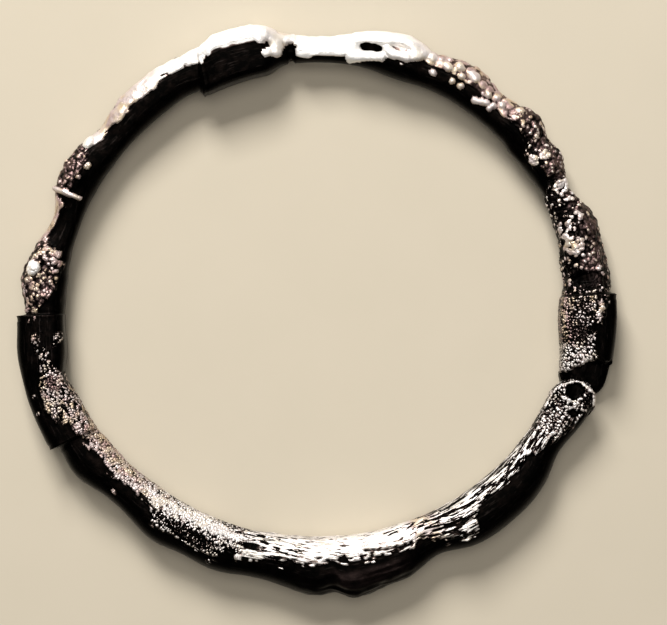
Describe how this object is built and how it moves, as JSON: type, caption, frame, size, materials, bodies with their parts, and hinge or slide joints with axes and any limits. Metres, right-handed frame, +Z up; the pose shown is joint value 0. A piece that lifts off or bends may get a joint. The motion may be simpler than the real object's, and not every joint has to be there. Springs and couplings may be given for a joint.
{
  "type": "torc",
  "caption": "Heavy corroded silver neck-ring bent from one bar, slim at the top, thick at the bottom, with lapped ends.",
  "frame": {"origin": "on the ground, under the middle of the ring", "axes": "+Z up, out of the face the ring shows; +Y towards the slim part at the top; +X towards the side with the lapped ends"},
  "size_m": [0.1623, 0.1545, 0.0126],
  "materials": {
    "tarnished_silver": "black tarnished silver with a crust, worn bright on its ridges"
  },
  "bodies": {
    "root": {"torc_hoop": "tarnished_silver"}
  },
  "joints": []
}
